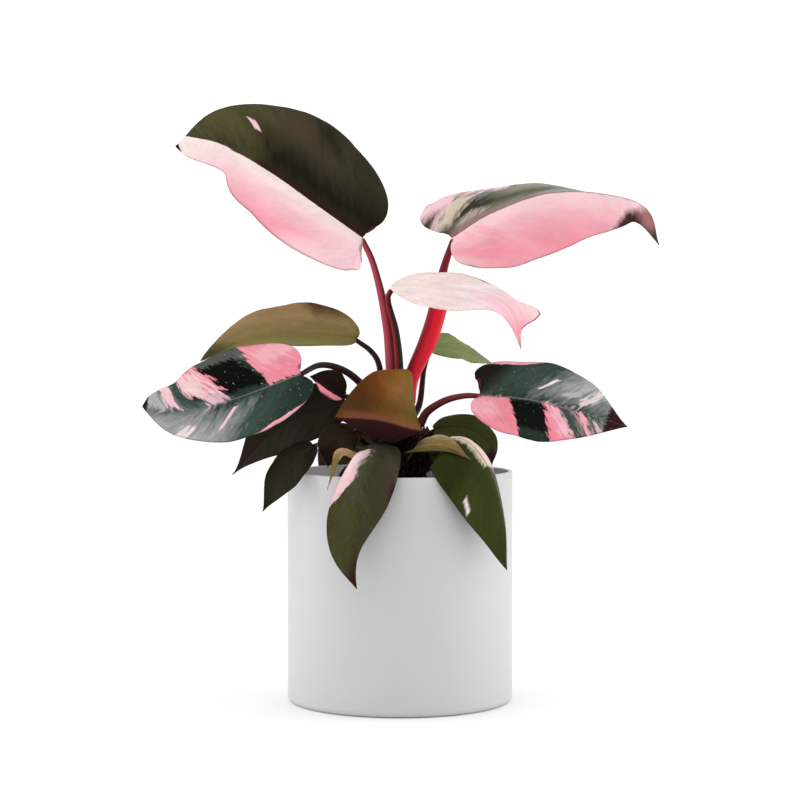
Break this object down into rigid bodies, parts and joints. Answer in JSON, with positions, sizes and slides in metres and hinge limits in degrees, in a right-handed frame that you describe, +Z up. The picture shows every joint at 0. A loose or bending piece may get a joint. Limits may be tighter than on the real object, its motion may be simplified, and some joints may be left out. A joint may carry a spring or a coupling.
{
  "type": "potted philodendron",
  "caption": "Pink-variegated climbing aroid in a plain white cylindrical pot, with glossy heart-shaped leaves in pink, dark green and bronze on long red stalks.",
  "frame": {"origin": "centre of the pot's flat underside", "axes": "+Z up, -Y towards the side that it is seen from, +X to the right as seen from there"},
  "size_m": [0.3132, 0.1754, 0.3693],
  "materials": {
    "pot": "satin white",
    "soil": "rough, dark potting mix",
    "stem": "green-brown, ringed",
    "stalk_red": "smooth, slightly glossy",
    "stalk_dark": "smooth, slightly glossy",
    "leaf_dark": "glossy, blotched with pink",
    "leaf_bronze": "glossy",
    "leaf_olive": "glossy",
    "leaf_pink": "satin",
    "sheath": "dull, drying",
    "root": "dull"
  },
  "bodies": {
    "root": {"pot": "pot", "soil": "soil", "stem": "stem", "stalk_upper_left": "stalk_red", "leaf_upper_left": "leaf_dark", "stalk_upper_right": "stalk_red", "leaf_upper_right": "leaf_dark", "stalk_young_pink": "stalk_dark", "leaf_young_pink": "leaf_pink", "stalk_mid_left": "stalk_dark", "leaf_mid_left": "leaf_bronze", "stalk_left_marbled": "stalk_dark", "leaf_left_marbled": "leaf_dark", "stalk_small_left": "stalk_dark", "leaf_small_left": "leaf_dark", "stalk_lower_left": "stalk_dark", "leaf_lower_left": "leaf_dark", "stalk_small_lower_left": "stalk_dark", "leaf_small_lower_left": "leaf_dark", "stalk_front_left": "stalk_dark", "leaf_front_left": "leaf_olive", "stalk_front_right": "stalk_dark", "leaf_front_right": "leaf_olive", "stalk_centre_bronze": "stalk_dark", "leaf_centre_bronze": "leaf_bronze", "stalk_right_marbled": "stalk_dark", "leaf_right_marbled": "leaf_dark", "stalk_back_right": "stalk_dark", "leaf_back_right": "leaf_olive", "stalk_lower_right": "stalk_dark", "leaf_lower_right": "leaf_olive", "stalk_inner_left": "stalk_dark", "leaf_inner_left": "leaf_dark", "stalk_back_left_low": "stalk_dark", "leaf_back_left_low": "leaf_dark", "stalk_back_right_low": "stalk_dark", "leaf_back_right_low": "leaf_dark", "cataphyll_left": "sheath", "cataphyll_right": "sheath", "aerial_root_left": "root", "aerial_root_right": "root"}
  },
  "joints": []
}
